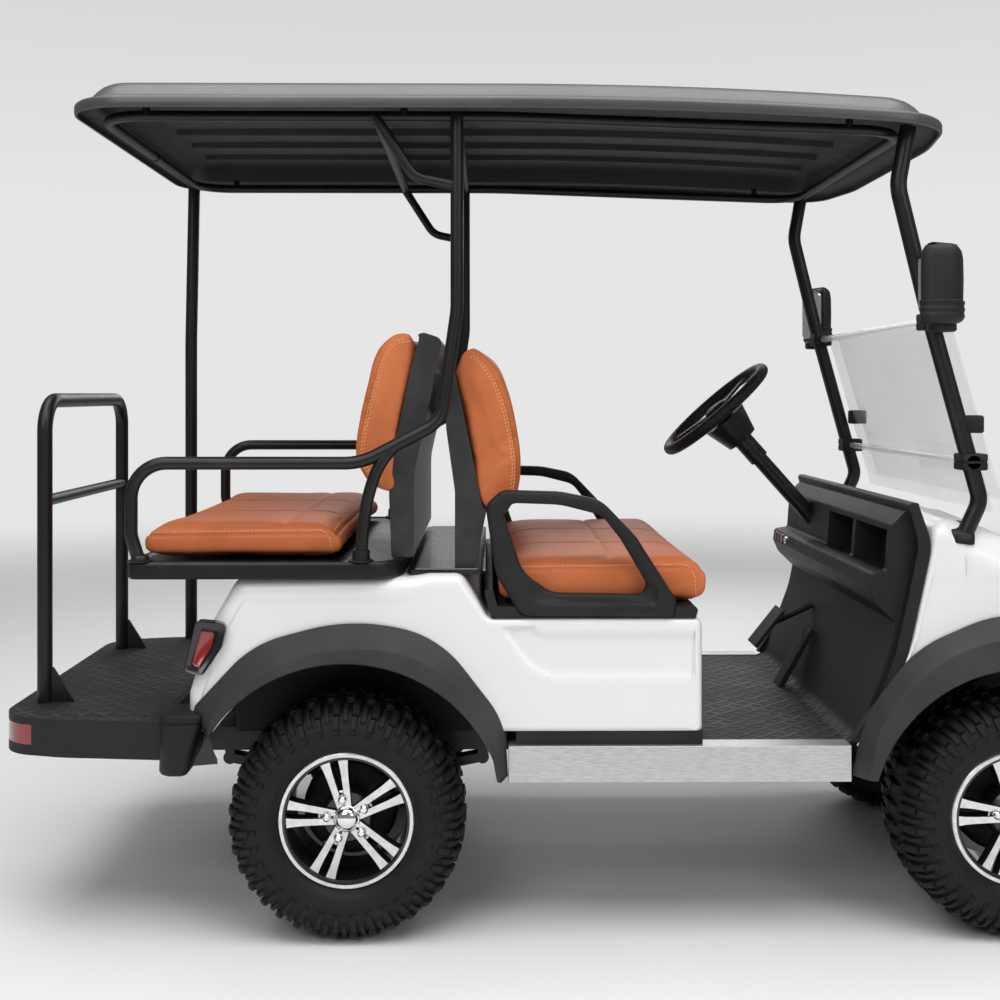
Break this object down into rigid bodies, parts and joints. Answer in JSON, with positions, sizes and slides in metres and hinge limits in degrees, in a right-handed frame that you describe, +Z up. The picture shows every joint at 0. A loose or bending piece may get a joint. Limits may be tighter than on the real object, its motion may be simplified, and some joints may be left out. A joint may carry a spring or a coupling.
{
  "type": "four-seat electric golf cart",
  "caption": "Lifted electric golf cart with a long flat roof, forward bench, rear-facing bench, foot platform with grab hoop, knobby off-road tyres and a folding windscreen.",
  "frame": {"origin": "on the ground, under the middle of the cart's length and width", "axes": "+X towards the front, +Y to the cart's left, +Z up"},
  "size_m": [2.94, 1.4, 2.0899],
  "materials": {
    "gloss_white": "high gloss clear-coated panels",
    "satin_black_steel": "satin black powder coat",
    "black_plastic": "fine textured moulding",
    "gloss_black": "semi-gloss moulding",
    "tan_leather": "smooth tan leather with orange stitching",
    "tyre": "matt rubber",
    "alloy": "machined face, black pockets",
    "step_aluminium": "tread-pattern aluminium",
    "clear_screen": "clear acrylic",
    "lamp_red": "red lens in a black housing",
    "lamp_clear": "clear lens",
    "cast_metal": "cast metal",
    "machine_grey": "painted casing"
  },
  "bodies": {
    "chassis": {"chassis_frame": "satin_black_steel", "rear_axle": "cast_metal", "drive_motor": "machine_grey", "battery_pack": "machine_grey", "rear_suspension": "satin_black_steel", "front_suspension": "satin_black_steel", "floor_pan": "black_plastic", "side_sills": "step_aluminium", "front_cowl": "gloss_white", "cowl_trim": "black_plastic", "dashboard": "black_plastic", "front_bumper": "black_plastic", "headlamps": "lamp_clear", "rear_body": "gloss_white", "body_skirt": "black_plastic", "corner_bumpers": "black_plastic", "arch_flares": "black_plastic", "rear_lamps": "lamp_red", "seat_deck": "black_plastic", "seat_backs": "tan_leather", "seat_back_shells": "gloss_black", "front_armrests": "black_plastic", "rear_seat_pan": "satin_black_steel", "rear_seat_cushion": "tan_leather", "side_rails": "satin_black_steel", "roof_braces": "satin_black_steel", "rear_post": "satin_black_steel", "screen_pillars": "satin_black_steel", "roof_panel": "gloss_black", "roof_frame": "satin_black_steel", "windscreen": "clear_screen", "screen_clamps": "black_plastic", "mirrors": "black_plastic", "rear_platform": "black_plastic", "grab_bar": "satin_black_steel", "steering_column": "satin_black_steel", "pedals": "black_plastic"},
    "wheel_front_left": {"tyre_front_left": "tyre", "rim_front_left": "alloy"},
    "wheel_front_right": {"tyre_front_right": "tyre", "rim_front_right": "alloy"},
    "wheel_rear_left": {"tyre_rear_left": "tyre", "rim_rear_left": "alloy"},
    "wheel_rear_right": {"tyre_rear_right": "tyre", "rim_rear_right": "alloy"},
    "knuckle_left": {"knuckle_left": "cast_metal"},
    "knuckle_right": {"knuckle_right": "cast_metal"},
    "tie_rod": {"tie_rod": "cast_metal"},
    "steering_wheel": {"steering_wheel": "black_plastic"},
    "front_seat": {"front_seat_cushion": "tan_leather"}
  },
  "joints": [
    {"name": "steering_wheel_turn", "type": "hinge", "parent": "chassis", "child": "steering_wheel", "pos_m": [0.446, 0.265, 1.282], "axis": [-0.6646, 0, 0.7472], "range_deg": [-420, 420]},
    {"name": "knuckle_left_steer", "type": "hinge", "parent": "chassis", "child": "knuckle_left", "pos_m": [1.04, 0.36, 0.292], "axis": [0, 0, 1], "range_deg": [-28, 28]},
    {"name": "knuckle_right_steer", "type": "hinge", "parent": "chassis", "child": "knuckle_right", "pos_m": [1.04, -0.36, 0.292], "axis": [0, 0, 1], "range_deg": [-28, 28]},
    {"name": "tie_rod_slide", "type": "slide", "parent": "chassis", "child": "tie_rod", "axis": [0, -1, 0], "range_m": [-0.04897, 0.04897]},
    {"name": "wheel_front_left_spin", "type": "hinge", "parent": "knuckle_left", "child": "wheel_front_left", "pos_m": [1.04, 0.475, 0.292], "axis": [0, 1, 0], "continuous": true},
    {"name": "wheel_front_right_spin", "type": "hinge", "parent": "knuckle_right", "child": "wheel_front_right", "pos_m": [1.04, -0.475, 0.292], "axis": [0, 1, 0], "continuous": true},
    {"name": "wheel_rear_left_spin", "type": "hinge", "parent": "chassis", "child": "wheel_rear_left", "pos_m": [-0.6, 0.475, 0.292], "axis": [0, 1, 0], "continuous": true},
    {"name": "wheel_rear_right_spin", "type": "hinge", "parent": "chassis", "child": "wheel_rear_right", "pos_m": [-0.6, -0.475, 0.292], "axis": [0, 1, 0], "continuous": true},
    {"name": "front_seat_lift", "type": "hinge", "parent": "chassis", "child": "front_seat", "pos_m": [0.268, 0, 0.804], "axis": [0, 1, 0], "range_deg": [0, 60]}
  ],
  "couplings": [
    {"joint": "knuckle_left_steer", "follows": "steering_wheel_turn", "ratio": 0.066667},
    {"joint": "knuckle_right_steer", "follows": "steering_wheel_turn", "ratio": 0.066667},
    {"joint": "tie_rod_slide", "follows": "steering_wheel_turn", "m_per_rad": 0.0066667}
  ]
}
